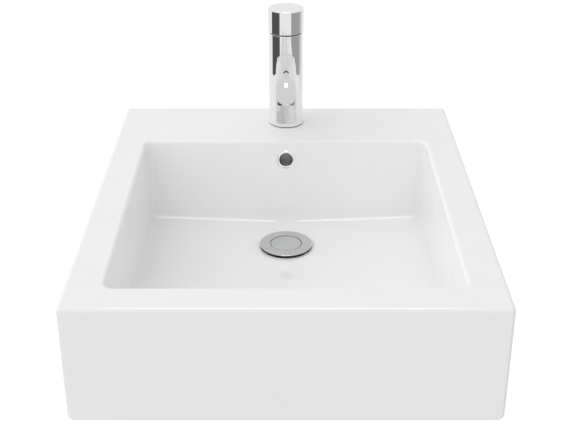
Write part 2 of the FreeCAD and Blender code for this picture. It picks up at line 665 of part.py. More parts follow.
def make_cartridge_seal():
    high = CHAMBER_LOW + 1.2
    disc = cylinder(CARTRIDGE_R - 0.2, CHAMBER_LOW, high, y=TAP_Y)
    ports = [cylinder(PORT_R, CHAMBER_LOW - 1, high + 1, side * PORT_X, TAP_Y + PORT_Y) for side in (-1, 1)]
    return disc.cut(ports + [cylinder(MIXED_R, CHAMBER_LOW - 1, high + 1, y=TAP_Y + MIXED_Y)])


def make_cartridge_body():
    low = CHAMBER_LOW + 1.2
    high = COLUMN_TOP + 6.0
    guide_r = SPINDLE_R + RUNNING
    profile = [(0, low), (CARTRIDGE_R, low), (CARTRIDGE_R, NECK_LOW), (CARTRIDGE_NECK_R, NECK_LOW),
               (CARTRIDGE_NECK_R, high), (guide_r, high), (guide_r, NECK_LOW), (0, NECK_LOW)]
    return turned(profile, TAP_Y)


def make_cartridge_nut():
    """Threaded ring on the cartridge's shoulder, with four notches for its key."""
    high = COLUMN_TOP + 4.0
    nut = ring(CHAMBER_R - SNUG, CARTRIDGE_NECK_R + SNUG, NECK_LOW, high, TAP_Y)
    for degrees in range(0, 360, 90):
        notch = box((11.8, -1.5, high - 2.5), (16.0, 1.5, high + 1))
        nut = nut.cut(turned_about(notch, TAP_Y, degrees))
    return nut


def make_shadow_ring():
    """Dark glide ring, set back inside the seam under the control."""
    inner_r, outer_r = GLIDE_R
    high = CONTROL_LOW + 1.2
    profile = [(inner_r, COLUMN_TOP), (outer_r, COLUMN_TOP), (outer_r, high - 0.6), (outer_r - 0.6, high),
               (inner_r, high)]
    return turned(profile, TAP_Y)


def make_cartridge_spindle():
    stem = cylinder(SPINDLE_R, NECK_LOW + RUNNING, SPINDLE_TOP, y=TAP_Y)
    flat = box((-SPINDLE_R, TAP_Y + FLAT_Y, HUB_LOW - 1),
               (SPINDLE_R, TAP_Y + SPINDLE_R + 1, SPINDLE_TOP + 1))
    return stem.cut(flat)


def make_handle():
    """Hollow control: rounded crown, hub on the spindle, rib at the back for the grub screw."""
    drum = cylinder(HANDLE_R, CONTROL_LOW, CONTROL_TOP, y=TAP_Y)
    drum = drum.makeFillet(HANDLE_TOP_R, edges_at_level(drum, CONTROL_TOP))
    drum = drum.makeFillet(SMALL_EDGE, edges_at_level(drum, CONTROL_LOW))
    hollow = cylinder(HANDLE_R - HANDLE_WALL, CONTROL_LOW - 1, CROWN_UNDER, y=TAP_Y)
    hub = cylinder(HUB_R, HUB_LOW, CROWN_UNDER + 1, y=TAP_Y)
    rib = box((-RIB_WIDE / 2, TAP_Y, HUB_LOW), (RIB_WIDE / 2, TAP_Y + HANDLE_R - 2.0, CROWN_UNDER + 1))
    bore = cylinder(SPINDLE_R + 0.02, HUB_LOW - 1, SPINDLE_TOP, y=TAP_Y)
    screw_way = Part.makeCylinder(SCREW_R + SNUG, HANDLE_R, Vec(0, TAP_Y + FLAT_Y, SCREW_Z), BACKWARD)
    return drum.cut(hollow).fuse([hub, rib]).cut([bore, screw_way]).removeSplitter()


def make_handle_screw():
    """M4 cup-point grub screw with its hexagon socket towards the back."""
    start = TAP_Y + FLAT_Y
    screw = Part.makeCylinder(SCREW_R, SCREW_LONG, Vec(0, start, SCREW_Z), BACKWARD)
    key_floor = start + SCREW_LONG - SCREW_KEY_DEEP
    corners = []
    for degrees in range(0, 360, 60):
        across, up = on_circle(SCREW_KEY_R, degrees)
        corners.append(Vec(across, key_floor, SCREW_Z + up))
    return screw.cut(prism(corners, BACKWARD * (SCREW_KEY_DEEP + 1)))


# ---- tap fixing ------------------------------------------------------------------------------------
def horseshoe(low, high):
    """Disc open to one side, so it slides on past the inlets, with a hole for each stud."""
    disc = cylinder(HORSESHOE_R, low, high, y=TAP_Y)
    half = HORSESHOE_SLOT / 2
    slot = box((-HORSESHOE_END, TAP_Y - half, low - 1), (HORSESHOE_R + 5, TAP_Y + half, high + 1))
    closed_end = edges_where(slot, lambda edge: lies_between(edge, "x", -HORSESHOE_END, -HORSESHOE_END)
                             and not is_level(edge))
    slot = slot.makeFillet(HORSESHOE_SLOT_R, closed_end)
    holes = [cylinder(STUD_R + 0.2, low - 1, high + 1, y=TAP_Y + side * STUD_Y) for side in (-1, 1)]
    return disc.cut([slot] + holes)


def make_horseshoe_rubber():
    return horseshoe(PLATE_TOP, UNDER_DECK)


def make_horseshoe_plate():
    return horseshoe(FIXING_TOP, PLATE_TOP)


def make_fixing_studs():
    studs = []
    low = STUD_TOP - STUD_LENGTH
    for side in (-1, 1):
        stud = cylinder(STUD_R, low, STUD_TOP, y=TAP_Y + side * STUD_Y)
        studs.append(stud.makeChamfer(TURNED_EDGE, edges_at_level(stud, low)))
    return Part.makeCompound(studs)


def make_fixing_nuts():
    low = FIXING_TOP - HEX_HIGH
    nuts = []
    for side in (-1, 1):
        y = TAP_Y + side * STUD_Y
        corners = [Vec(*on_circle(HEX_R, degrees), low).add(Vec(0, y, 0)) for degrees in range(0, 360, 60)]
        bore = cylinder(STUD_R + SNUG, low - 1, FIXING_TOP + 1, y=y)
        nuts.append(prism(corners, Vec(0, 0, HEX_HIGH)).cut(bore))
    return Part.makeCompound(nuts)


NODES = {
    "basin_shell": make_basin,
    "overflow_ring": make_overflow_ring,
    "waste_flange_seal": make_waste_flange_seal,
    "waste_body": make_waste_body,
    "waste_cone_washer": make_waste_cone_washer,
    "waste_slip_washer": make_waste_slip_washer,
    "waste_backnut": make_waste_backnut,
    "click_housing": make_click_housing,
    "click_spring": make_click_spring,
    "plug_stem": make_plug_stem,
    "plug_cap": make_plug_cap,
    "plug_seal": make_plug_seal,
    "tap_base_ring": make_tap_base_ring,
    "tap_base_seal": make_tap_base_seal,
    "tap_body": make_tap_body,
    "spout": make_spout,
    "aerator": make_aerator,
    "aerator_washer": make_aerator_washer,
    "cartridge_seal": make_cartridge_seal,
    "cartridge_body": make_cartridge_body,
    "cartridge_nut": make_cartridge_nut,
    "shadow_ring": make_shadow_ring,
    "cartridge_spindle": make_cartridge_spindle,
    "handle": make_handle,
    "handle_screw": make_handle_screw,
    "fixing_studs": make_fixing_studs,
    "horseshoe_rubber": make_horseshoe_rubber,
    "horseshoe_plate": make_horseshoe_plate,
    "fixing_nuts": make_fixing_nuts,
}

os.makedirs("parts", exist_ok=True)
for name, make in NODES.items():
    shape = make()
    solids = shape.Solids
    print(name, "valid" if shape.isValid() else "INVALID", len(solids), "solids",
          round(shape.Volume / 1000, 2), "cm3", len(shape.Faces), "faces")
    shape.exportStep(f"parts/{name}.step")
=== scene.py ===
import bpy
import math
from mathutils import Matrix, Vector


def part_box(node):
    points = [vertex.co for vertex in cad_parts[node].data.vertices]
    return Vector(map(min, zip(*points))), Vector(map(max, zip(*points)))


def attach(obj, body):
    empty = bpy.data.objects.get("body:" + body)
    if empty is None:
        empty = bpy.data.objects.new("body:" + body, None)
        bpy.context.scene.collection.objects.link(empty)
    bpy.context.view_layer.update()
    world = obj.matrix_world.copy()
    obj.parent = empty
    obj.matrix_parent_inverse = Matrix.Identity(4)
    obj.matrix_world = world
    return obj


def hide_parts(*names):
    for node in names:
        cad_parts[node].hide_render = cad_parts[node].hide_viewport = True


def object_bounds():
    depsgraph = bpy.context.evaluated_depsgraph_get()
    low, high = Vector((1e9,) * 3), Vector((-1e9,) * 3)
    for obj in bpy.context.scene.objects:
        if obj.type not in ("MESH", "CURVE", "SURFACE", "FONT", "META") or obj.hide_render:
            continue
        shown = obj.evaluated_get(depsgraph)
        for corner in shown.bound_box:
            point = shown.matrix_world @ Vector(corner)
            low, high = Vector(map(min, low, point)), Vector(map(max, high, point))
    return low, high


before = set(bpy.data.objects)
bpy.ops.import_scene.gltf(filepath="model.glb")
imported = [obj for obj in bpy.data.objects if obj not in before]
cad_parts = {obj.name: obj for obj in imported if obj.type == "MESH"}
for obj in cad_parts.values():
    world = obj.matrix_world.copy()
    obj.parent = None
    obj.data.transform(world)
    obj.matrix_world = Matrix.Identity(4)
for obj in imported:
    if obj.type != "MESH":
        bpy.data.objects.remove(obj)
cad_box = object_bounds()


# ---- Camera, floor and light -----------------------------------------------------------------
# A catalogue picture: the camera stands in front on the basin's centre line and looks down at it.
# The room is white, with a soft box high on the left, and the floor is pale and plain.

CAMERA_AHEAD = 0.8741      # in front of the basin's front face
CAMERA_ABOVE = 0.5424      # above the rim
CAMERA_DOWN = math.radians(26.85)
CAMERA_LENS = 67.87

rim_low, rim_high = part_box("basin_shell")
camera = bpy.data.objects.new("camera", bpy.data.cameras.new("camera"))
bpy.context.scene.collection.objects.link(camera)
camera.location = (0, rim_low.y - CAMERA_AHEAD, rim_high.z + CAMERA_ABOVE)
camera.rotation_euler = (math.pi / 2 - CAMERA_DOWN, 0, 0)
camera.data.lens = CAMERA_LENS
camera.data.sensor_width = 36
bpy.context.scene.camera = camera
bpy.context.scene.view_settings.view_transform = "Standard"


def feed(tree, socket, value):
    """Puts a number or colour on a socket, or links it where the value is another node's output."""
    if isinstance(value, bpy.types.NodeSocket):
        tree.links.new(value, socket)
    else:
        socket.default_value = value


def sums(tree, operation, first, second):
    made = tree.nodes.new("ShaderNodeMath")
    made.operation = operation
    feed(tree, made.inputs[0], first)
    feed(tree, made.inputs[1], second)
    return made.outputs[0]


def fade(tree, value, low, high, to_low=0.0, to_high=1.0):
    """Smooth change from to_low to to_high while the value goes from low to high."""
    made = tree.nodes.new("ShaderNodeMapRange")
    made.interpolation_type = "SMOOTHSTEP"
    for name, number in (("From Min", low), ("From Max", high), ("To Min", to_low), ("To Max", to_high)):
        feed(tree, made.inputs[name], number)
    feed(tree, made.inputs["Value"], value)
    return made.outputs["Result"]


ROOM = 0.936               # light that falls on the basin from all round
ROOM_TOP = -0.16           # less of it comes from straight above
ROOM_LEAN = -0.30          # more of it comes from the left
ROOM_SHINE = 0.865         # the same room as polished surfaces mirror it
LAMP_SHINE = 4.8           # the long lamp overhead
SCREEN_LEFT = 0.784        # how much the screens beside the tap take from the mirrored room
SCREEN_RIGHT = 0.518
SCREEN_TOP = (-0.16, -0.24)          # directions in which a screen or the lamp fades in
LEFT_SCREEN_SIDE = (-0.61, -0.67)
LEFT_SCREEN_BACK = (0.27, 0.20)
RIGHT_SCREEN_SIDE = (0.50, 0.56)
RIGHT_SCREEN_BACK = (0.75, -0.02)
LAMP_SIDE = (0.20, 0.13)
LAMP_FRONT = (-0.24, -0.15)
LAMP_BACK = (0.30, 0.20)
LAMP_ABOVE = (0.3, 0.4)
SOFT_BOX_POWER = 3.5
SOFT_BOX_PLACE = Vector((-1.2, -0.5, 1.6))
SOFT_BOX_AIM = Vector((0, -0.25, 0))
SOFT_BOX_SIZE = 1.6
FLOOR_SIZE = 40
FLOOR_BELOW = 0.0005
FLOOR_GREY = (0.25, 0.25, 0.25, 1)
WHITE = (1, 1, 1, 1)
FLOOR_SEEN = 0.9
FLOOR_GLOW = 0.5           # what the floor sends up onto the basin


def studio_world():
    """White room. What shines also mirrors a lamp overhead and a dark screen low on each side."""
    world = bpy.data.worlds.new("studio")
    bpy.context.scene.world = world
    world.use_nodes = True
    tree = world.node_tree
    tree.nodes.clear()
    way = tree.nodes.new("ShaderNodeSeparateXYZ")
    feed(tree, way.inputs[0], tree.nodes.new("ShaderNodeTexCoord").outputs["Generated"])
    x, y, z = way.outputs
    low = fade(tree, z, *SCREEN_TOP)
    left = sums(tree, "MULTIPLY", fade(tree, x, *LEFT_SCREEN_SIDE), fade(tree, y, *LEFT_SCREEN_BACK))
    right = sums(tree, "MULTIPLY", fade(tree, x, *RIGHT_SCREEN_SIDE), fade(tree, y, *RIGHT_SCREEN_BACK))
    screens = sums(tree, "ADD", sums(tree, "MULTIPLY", left, SCREEN_LEFT),
                   sums(tree, "MULTIPLY", right, SCREEN_RIGHT))
    across = fade(tree, sums(tree, "ABSOLUTE", x, 0.0), *LAMP_SIDE)
    along = sums(tree, "MULTIPLY", fade(tree, y, *LAMP_FRONT), fade(tree, y, *LAMP_BACK))
    lamp = sums(tree, "MULTIPLY", sums(tree, "MULTIPLY", across, along), fade(tree, z, *LAMP_ABOVE))
    mirrored = sums(tree, "SUBTRACT", ROOM_SHINE, sums(tree, "MULTIPLY", screens, low))
    mirrored = sums(tree, "ADD", mirrored, sums(tree, "MULTIPLY", lamp, LAMP_SHINE))
    soft = sums(tree, "ADD", ROOM, sums(tree, "MULTIPLY", x, ROOM_LEAN))
    soft = sums(tree, "ADD", soft, sums(tree, "MULTIPLY", sums(tree, "MAXIMUM", z, 0.0), ROOM_TOP))
    path = tree.nodes.new("ShaderNodeLightPath")
    strength = soft
    for kind, light in (("Is Glossy Ray", mirrored), ("Is Camera Ray", 1.0)):
        choose = tree.nodes.new("ShaderNodeMix")
        feed(tree, choose.inputs["Factor"], path.outputs[kind])
        feed(tree, choose.inputs["A"], strength)
        feed(tree, choose.inputs["B"], light)
        strength = choose.outputs["Result"]
    background = tree.nodes.new("ShaderNodeBackground")
    background.inputs["Color"].default_value = WHITE
    feed(tree, background.inputs["Strength"], strength)
    feed(tree, tree.nodes.new("ShaderNodeOutputWorld").inputs["Surface"], background.outputs[0])


studio_world()

soft_box = bpy.data.objects.new("soft_box", bpy.data.lights.new("soft_box", "AREA"))
bpy.context.scene.collection.objects.link(soft_box)
soft_box.data.shape = "DISK"
soft_box.data.size = SOFT_BOX_SIZE
soft_box.data.energy = SOFT_BOX_POWER
soft_box.location = SOFT_BOX_PLACE
soft_box.rotation_euler = (SOFT_BOX_AIM - SOFT_BOX_PLACE).to_track_quat("-Z", "Y").to_euler()
soft_box.visible_glossy = False

bpy.ops.object.select_all(action="DESELECT")
bpy.ops.mesh.primitive_plane_add(size=FLOOR_SIZE, location=(0, 0, cad_box[0][2] - FLOOR_BELOW))
floor = bpy.context.object
floor.name = "studio_floor"
floor.visible_glossy = False
floor_paint = bpy.data.materials.new("floor_paint")
floor_paint.use_nodes = True
floor_shader = floor_paint.node_tree.nodes["Principled BSDF"]
floor_shader.inputs["Base Color"].default_value = FLOOR_GREY
floor_shader.inputs["Specular IOR Level"].default_value = 0.0
floor_shader.inputs["Emission Color"].default_value = WHITE
floor_tree = floor_paint.node_tree
feed(floor_tree, floor_shader.inputs["Emission Strength"],
     fade(floor_tree, floor_tree.nodes.new("ShaderNodeLightPath").outputs["Is Camera Ray"], 0.0, 1.0,
          FLOOR_GLOW, FLOOR_SEEN))
floor.data.materials.append(floor_paint)


# ---- Basin -------------------------------------------------------------------------------------
# Vitreous china, cast hollow in one piece: rim, bowl, open apron, tub, deck and overflow duct. It is
# sprayed with white glaze where it is seen; the bearing faces and what lies under the counter stay dull.

GLAZE = (0.965, 0.967, 0.965, 1)
GLAZE_CLOUD = (0.953, 0.956, 0.956, 1)
BISQUE = (0.80, 0.775, 0.735, 1)
BISQUE_DARK = (0.755, 0.728, 0.685, 1)
BOWL_HALF = 0.181          # the bowl's opening, from the centre line
BOWL_FRONT = rim_low.y + 0.040
BOWL_BACK = rim_low.y + 0.4115
BOWL_FLOOR = rim_high.z - 0.112
BOWL_FRONT_DRAFT = 0.07    # the bowl's walls lean in by this share of the depth
BOWL_BACK_LEAN = 0.158
BOWL_SKIN = (-0.003, -0.002)         # the glaze fades out inside the bowl's walls
RIM_UNDERSIDE = (-0.0012, -0.0002)
APRON_BACK = (rim_low.y + 0.0105, rim_low.y + 0.0085)
OUTER_SIDES = (0.2105, 0.2125)
FACING_UP = (-0.10, -0.02)
MOUTH_REACH = (0.034, 0.030)
RIM_EDGE_LOW = (rim_high.z - 0.0045, rim_high.z - 0.0035)
RIM_EDGE_HIGH = (rim_high.z - 0.00005, rim_high.z - 0.0002)
RIM_EDGE_OUTER = 0.006
RIM_EDGE_INNER = 0.004
THIN_GLAZE_HAZE = 0.30
GLAZE_IOR = 1.5
OVERFLOW_DOWN = 0.0246     # rim top to the overflow's middle
OVERFLOW_MOUTH = Vector((0, BOWL_BACK - 0.001 - OVERFLOW_DOWN * BOWL_BACK_LEAN, rim_high.z - OVERFLOW_DOWN))


def effect(name, values, output):
    """A shader node group that reads Object coordinates and some values and puts out one value."""
    tree = bpy.data.node_groups.new(name, "ShaderNodeTree")
    tree.interface.new_socket("Where", in_out="INPUT", socket_type="NodeSocketVector")
    for label, usual in values:
        socket = tree.interface.new_socket(label, in_out="INPUT", socket_type="NodeSocketFloat")
        socket.default_value = usual
    tree.interface.new_socket(output, in_out="OUTPUT", socket_type="NodeSocketFloat")
    return tree, tree.nodes.new("NodeGroupInput").outputs, tree.nodes.new("NodeGroupOutput").inputs[0]


def cloud(tree, where, scale, detail):
    made = tree.nodes.new("ShaderNodeTexNoise")
    feed(tree, made.inputs["Vector"], where)
    feed(tree, made.inputs["Scale"], scale)
    feed(tree, made.inputs["Detail"], detail)
    return made.outputs["Fac"]


def mottle_effect():
    """Soft clouds between a low and a high value."""
    tree, given, out = effect("mottle", [("Scale", 10.0), ("Detail", 2.0), ("Low", 0.0), ("High", 1.0)],
                              "Value")
    feed(tree, out, fade(tree, cloud(tree, given["Where"], given["Scale"], given["Detail"]), 0.32, 0.68,
                         given["Low"], given["High"]))
    return tree


def grain_effect():
    """Fine pits and grains as a height from 0 to 1."""
    tree, given, out = effect("grain", [("Scale", 900.0), ("Coarse", 0.3)], "Height")
    fine = cloud(tree, given["Where"], given["Scale"], 3.0)
    coarse = cloud(tree, given["Where"], sums(tree, "MULTIPLY", given["Scale"], 0.18), 2.0)
    coarse = sums(tree, "MULTIPLY", coarse, given["Coarse"])
    feed(tree, out, sums(tree, "ADD", fine, coarse))
    return tree


def worn_edges_effect():
    """Where an edge stands out it is rubbed: 1 on the edge, broken up by clouds, 0 on the faces."""
    tree, given, out = effect("worn_edges", [("Scale", 150.0), ("Start", 0.52), ("Full", 0.60)], "Mask")
    edge = fade(tree, tree.nodes.new("ShaderNodeNewGeometry").outputs["Pointiness"], given["Start"],
                given["Full"])
    patchy = fade(tree, cloud(tree, given["Where"], given["Scale"], 3.0), 0.30, 0.62)
    feed(tree, out, sums(tree, "MULTIPLY", edge, patchy))
    return tree


MOTTLE = mottle_effect()
GRAIN = grain_effect()
WORN_EDGES = worn_edges_effect()


def placed(tree, group, where, **values):
    """Puts a shared effect into a material with the material's own values."""
    made = tree.nodes.new("ShaderNodeGroup")
    made.node_tree = group
    feed(tree, made.inputs["Where"], where)
    for label, value in values.items():
        feed(tree, made.inputs[label], value)
    return made.outputs[0]


def blended(tree, share, first, second):
    made = tree.nodes.new("ShaderNodeMix")
    made.data_type = "RGBA"
    for index, value in ((0, share), (6, first), (7, second)):
        feed(tree, made.inputs[index], value)
    return made.outputs[2]


def relief(tree, shader, height, distance):
    made = tree.nodes.new("ShaderNodeBump")
    made.inputs["Strength"].default_value = 1.0
    made.inputs["Distance"].default_value = distance
    feed(tree, made.inputs["Height"], height)
    feed(tree, shader.inputs["Normal"], made.outputs["Normal"])


def new_material(name):
    material = bpy.data.materials.new(name)
    material.use_nodes = True
    tree = material.node_tree
    where = tree.nodes.new("ShaderNodeTexCoord").outputs["Object"]
    return material, tree, tree.nodes["Principled BSDF"], where


def all_of(tree, masks):
    whole = masks[0]
    for mask in masks[1:]:
        whole = sums(tree, "MULTIPLY", whole, mask)
    return whole


def distance_from(tree, where, point):
    made = tree.nodes.new("ShaderNodeVectorMath")
    made.operation = "DISTANCE"
    feed(tree, made.inputs[0], where)
    made.inputs[1].default_value = point
    return made.outputs["Value"]


def glazed_mask(tree, where):
    """1 where the glaze reaches: rim, front, outer sides, the bowl and the overflow's mouth."""
    place = tree.nodes.new("ShaderNodeSeparateXYZ")
    feed(tree, place.inputs[0], where)
    x, y, z = place.outputs
    facing = tree.nodes.new("ShaderNodeSeparateXYZ")
    feed(tree, facing.inputs[0], tree.nodes.new("ShaderNodeTexCoord").outputs["Normal"])
    aside = sums(tree, "ABSOLUTE", x, 0.0)
    deep = sums(tree, "SUBTRACT", rim_high.z, z)
    rim = fade(tree, z, *RIM_UNDERSIDE)
    front = fade(tree, y, *APRON_BACK)
    sides = fade(tree, aside, *OUTER_SIDES)
    front_wall = sums(tree, "ADD", BOWL_FRONT, sums(tree, "MULTIPLY", deep, BOWL_FRONT_DRAFT))
    back_wall = sums(tree, "SUBTRACT", BOWL_BACK, sums(tree, "MULTIPLY", deep, BOWL_BACK_LEAN))
    bowl = all_of(tree, [fade(tree, aside, BOWL_HALF + 0.001, BOWL_HALF),
                         fade(tree, z, BOWL_FLOOR - 0.001, BOWL_FLOOR),
                         fade(tree, facing.outputs["Z"], *FACING_UP),
                         fade(tree, sums(tree, "SUBTRACT", y, front_wall), *BOWL_SKIN),
                         fade(tree, sums(tree, "SUBTRACT", back_wall, y), *BOWL_SKIN)])
    mouth = fade(tree, distance_from(tree, where, OVERFLOW_MOUTH), *MOUTH_REACH)
    reached = rim
    for mask in (front, sides, bowl, mouth):
        reached = sums(tree, "MAXIMUM", reached, mask)
    return reached


def thin_glaze(tree, where):
    """1 on the rim's inner edge, where the glaze draws back and mirrors less."""
    place = tree.nodes.new("ShaderNodeSeparateXYZ")
    feed(tree, place.inputs[0], where)
    x, y, z = place.outputs
    aside = sums(tree, "ABSOLUTE", x, 0.0)
    return all_of(tree, [fade(tree, z, *RIM_EDGE_LOW),
                         fade(tree, z, *RIM_EDGE_HIGH),
                         fade(tree, aside, BOWL_HALF + RIM_EDGE_OUTER, BOWL_HALF + RIM_EDGE_INNER),
                         fade(tree, y, BOWL_FRONT - RIM_EDGE_OUTER, BOWL_FRONT - RIM_EDGE_INNER),
                         fade(tree, y, BOWL_BACK + RIM_EDGE_OUTER, BOWL_BACK + RIM_EDGE_INNER)])


def glazed_china():
    material, tree, shader, where = new_material("glazed_china")
    reached = glazed_mask(tree, where)
    glaze = blended(tree, placed(tree, MOTTLE, where, Scale=9.0, Detail=3.0), GLAZE, GLAZE_CLOUD)
    bisque = blended(tree, placed(tree, MOTTLE, where, Scale=45.0, Detail=5.0), BISQUE, BISQUE_DARK)
    feed(tree, shader.inputs["Base Color"], blended(tree, reached, bisque, glaze))
    shine = placed(tree, MOTTLE, where, Scale=30.0, Low=0.02, High=0.04)
    dull = placed(tree, MOTTLE, where, Scale=60.0, Low=0.5, High=0.68)
    shine = sums(tree, "ADD", shine, sums(tree, "MULTIPLY", thin_glaze(tree, where), THIN_GLAZE_HAZE))
    feed(tree, shader.inputs["Roughness"], fade(tree, reached, 0.0, 1.0, dull, shine))
    ripple = placed(tree, MOTTLE, where, Scale=16.0, Detail=1.0)
    grain = placed(tree, GRAIN, where, Scale=1100.0, Coarse=0.6)
    height = fade(tree, reached, 0.0, 1.0, grain, ripple)
    relief(tree, shader, height, 0.0001)
    shader.inputs["IOR"].default_value = GLAZE_IOR
    return material


def finish(material, *names):
    """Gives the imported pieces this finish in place: their shapes are already right."""
    for name in names:
        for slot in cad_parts[name].material_slots:
            slot.material = material


finish(glazed_china(), "basin_shell")


# ---- Overflow ring -----------------------------------------------------------------------------
# A domed brass ring, turned and chromed, with a sleeve that is pushed into the overflow hole. It
# leans with the bowl's back wall.

OVERFLOW_LEAN = math.radians(9.0)
CHROME = (0.92, 0.925, 0.93, 1)
CHROME_RUBBED = (0.95, 0.955, 0.96, 1)
# painted shade: the waste's chrome is given a darker colour than the tap's, for its dimmer look down in the
# bowl
SHADED_WASTE_CHROME = (0.63, 0.635, 0.64, 1)
SHADED_WASTE_CHROME_RUBBED = (0.76, 0.765, 0.77, 1)
TURNED_STEPS = 128


def chrome_plate(name, colour, rubbed_colour, low=0.015, high=0.045):
    """Polished plate: a faint haze and edges rubbed a little brighter."""
    material, tree, shader, where = new_material(name)
    rubbed = placed(tree, WORN_EDGES, where, Scale=260.0, Start=0.53, Full=0.66)
    feed(tree, shader.inputs["Base Color"], blended(tree, rubbed, colour, rubbed_colour))
    shader.inputs["Metallic"].default_value = 1.0
    haze = placed(tree, MOTTLE, where, Scale=90.0, Detail=4.0, Low=low, High=high)
    feed(tree, shader.inputs["Roughness"], sums(tree, "ADD", haze, sums(tree, "MULTIPLY", rubbed, 0.08)))
    relief(tree, shader, placed(tree, MOTTLE, where, Scale=55.0, Detail=1.0), 0.000004)
    return material


POLISHED_PLATE = chrome_plate("polished_chrome_plate", CHROME, CHROME_RUBBED)
SHADED_WASTE_PLATE = chrome_plate("shaded_waste_chrome_plate", SHADED_WASTE_CHROME, SHADED_WASTE_CHROME_RUBBED)


def turned(name, outline, soft_edge, closed=False):
    """Turned about the upright axis: a circle, extruded and drawn in or out to each next (radius, height)."""
    bpy.ops.object.select_all(action="DESELECT")
    radius, height = outline[0]
    bpy.ops.mesh.primitive_circle_add(vertices=TURNED_STEPS, radius=radius, location=(0, 0, height))
    piece = bpy.context.object
    piece.name = name
    bpy.ops.object.transform_apply()
    bpy.ops.object.mode_set(mode="EDIT")
    bpy.ops.mesh.select_all(action="SELECT")
    if not closed:
        bpy.ops.mesh.edge_face_add()
    for next_radius, next_height in outline[1:]:
        bpy.ops.mesh.extrude_region_move(TRANSFORM_OT_translate={"value": (0, 0, next_height - height)})
        share = next_radius / radius
        bpy.ops.transform.resize(value=(share, share, 1), center_override=(0, 0, next_height))
        radius, height = next_radius, next_height
    bpy.ops.mesh.select_all(action="SELECT")
    bpy.ops.mesh.remove_doubles(threshold=0.000002)
    bpy.ops.mesh.normals_make_consistent(inside=False)
    bpy.ops.object.mode_set(mode="OBJECT")
    soften(piece, soft_edge)
    return piece


def soften(piece, width):
    """Breaks the sharp edges and shades the piece, as polishing does."""
    edges = piece.modifiers.new("broken_edges", "BEVEL")
    edges.width = width
    edges.segments = 3
    edges.limit_method = "ANGLE"
    edges.angle_limit = math.radians(14)
    bpy.context.view_layer.objects.active = piece
    bpy.ops.object.modifier_apply(modifier=edges.name)
    bpy.ops.object.shade_smooth_by_angle(angle=math.radians(28))
    shading = piece.modifiers.new("even_shading", "WEIGHTED_NORMAL")
    shading.keep_sharp = True
    bpy.ops.object.modifier_apply(modifier=shading.name)


def fitted(piece, node, body, material, place):
    """Puts a new piece in its place, in its mesh, on its body, with its finish."""
    piece.data.transform(place)
    piece.data.materials.append(material)
    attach(piece, body)
    if node:
        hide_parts(node)


overflow_ring = turned("overflow_ring_turned", [
    (0.0073, -0.0006), (0.0088, 0.0016), (0.0100, 0.0020), (0.0112, 0.0015), (0.0121, 0.0004), (0.0121, 0.0),
    (0.0104, 0.0), (0.0104, -0.0110), (0.0079, -0.0110), (0.0073, -0.0006)], 0.0003, closed=True)
fitted(overflow_ring, "overflow_ring", "basin", POLISHED_PLATE,
       Matrix.Translation(OVERFLOW_MOUTH) @ Matrix.Rotation(math.pi / 2 - OVERFLOW_LEAN, 4, "X"))


# ---- Click waste: body, washers and nut ----------------------------------------------------------
# A chromed brass tube G 1 1/4 with a flange in the floor's recess. A flat seal lies under the flange;
# below the ceramic a rubber cone washer, a slip washer and a nylon nut on the thread pull it tight.

RUBBER_AND_GROOVE_SHADE = (0.008, 0.008, 0.009, 1)
RUBBER_BLOOM = (0.025, 0.025, 0.026, 1)
NYLON = (0.030, 0.031, 0.033, 1)
NYLON_RUBBED = (0.10, 0.10, 0.105, 1)
POLYMER = (0.62, 0.63, 0.64, 1)
POLYMER_SHADE = (0.52, 0.53, 0.545, 1)
RUBBER_SPECULAR = 0.2
THREAD_R = 0.02095
THREAD_START = 0.0025      # above the tube's end
THREAD_PITCH = 0.002309    # 11 turns to the inch
THREAD_PROUD = 0.00035
THREAD_TURNS = 13
THREAD_STEPS = 48
TOOTH_HALF = 0.42          # of the pitch


def black_rubber():
    material, tree, shader, where = new_material("black_rubber")
    bloom = placed(tree, MOTTLE, where, Scale=140.0, Detail=5.0)
    feed(tree, shader.inputs["Base Color"], blended(tree, bloom, RUBBER_AND_GROOVE_SHADE, RUBBER_BLOOM))
    feed(tree, shader.inputs["Roughness"], placed(tree, MOTTLE, where, Scale=220.0, Low=0.55, High=0.75))
    shader.inputs["Specular IOR Level"].default_value = RUBBER_SPECULAR
    relief(tree, shader, placed(tree, GRAIN, where, Scale=1500.0, Coarse=0.5), 0.00004)
    return material


def moulded_plastic(name, colour, rubbed_colour, low, high):
    """Injection-moulded: an even, finely eroded skin with rubbed edges."""
    material, tree, shader, where = new_material(name)
    rubbed = placed(tree, WORN_EDGES, where, Scale=200.0, Start=0.53, Full=0.68)
    shade = sums(tree, "MAXIMUM", rubbed, placed(tree, MOTTLE, where, Scale=60.0, High=0.35))
    feed(tree, shader.inputs["Base Color"], blended(tree, shade, colour, rubbed_colour))
    feed(tree, shader.inputs["Roughness"], placed(tree, MOTTLE, where, Scale=120.0, Low=low, High=high))
    relief(tree, shader, placed(tree, GRAIN, where, Scale=2200.0, Coarse=0.2), 0.00003)
    return material


BLACK_RUBBER = black_rubber()
BLACK_PLASTIC = moulded_plastic("black_plastic", NYLON, NYLON_RUBBED, 0.38, 0.5)
GREY_PLASTIC = moulded_plastic("grey_plastic", POLYMER, POLYMER_SHADE, 0.3, 0.42)
finish(SHADED_WASTE_PLATE, "waste_body")
finish(BLACK_RUBBER, "waste_flange_seal", "waste_cone_washer")
finish(GREY_PLASTIC, "waste_slip_washer")
finish(BLACK_PLASTIC, "waste_backnut")


